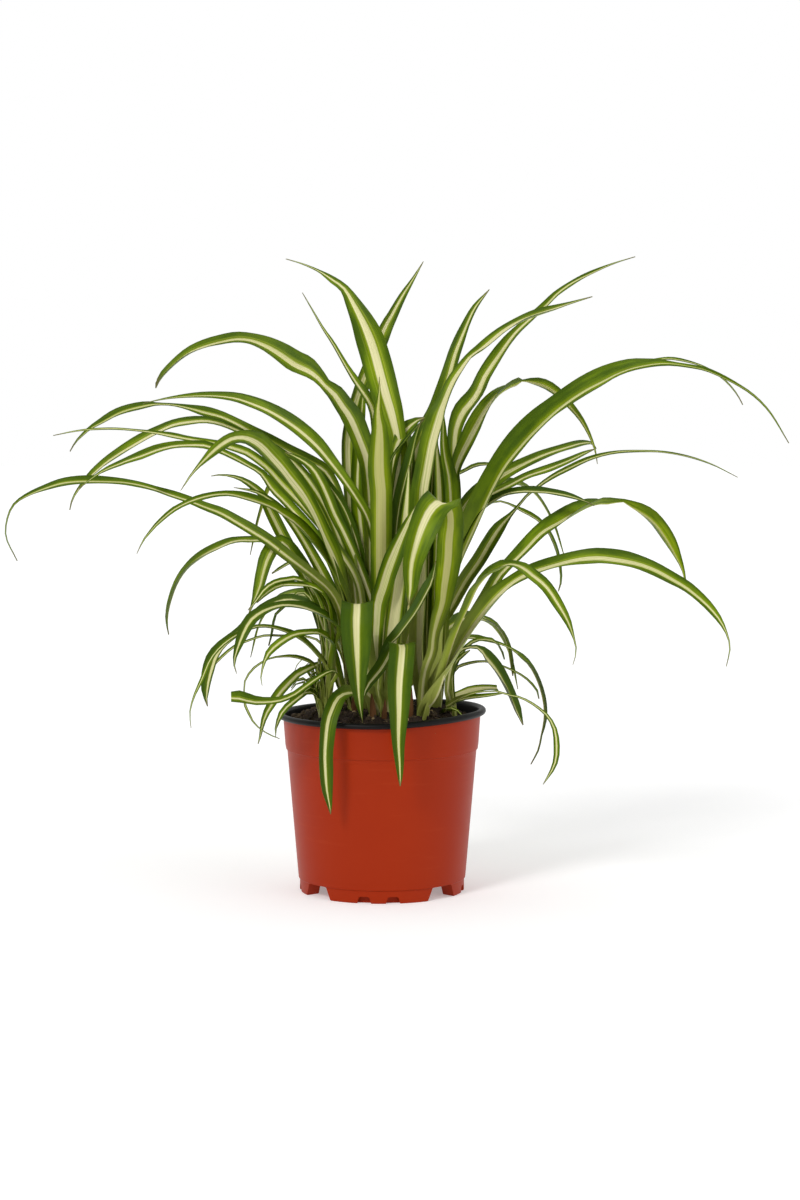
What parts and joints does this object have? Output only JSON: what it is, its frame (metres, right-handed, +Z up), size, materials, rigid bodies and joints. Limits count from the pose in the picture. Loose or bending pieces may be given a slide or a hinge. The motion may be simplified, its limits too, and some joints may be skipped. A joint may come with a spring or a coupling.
{
  "type": "potted spider plant",
  "caption": "Potted variegated spider plant: arching green leaves with a cream stripe, rooted in dark mix in a red and black plastic nursery pot.",
  "frame": {"origin": "on the ground under the pot's axis", "axes": "+Z up; -Y towards the front of the plant; +X to the right as seen from the front"},
  "size_m": [0.4892, 0.3399, 0.4024],
  "materials": {
    "pot": "satin",
    "soil": "rough",
    "leaf": "satin"
  },
  "bodies": {
    "root": {"pot": "pot", "soil": "soil", "crown_left": "leaf", "crown_front": "leaf", "crown_right": "leaf", "crown_centre": "leaf", "crown_right_back": "leaf", "crown_back": "leaf", "offset_left": "leaf", "offset_right": "leaf"}
  },
  "joints": []
}
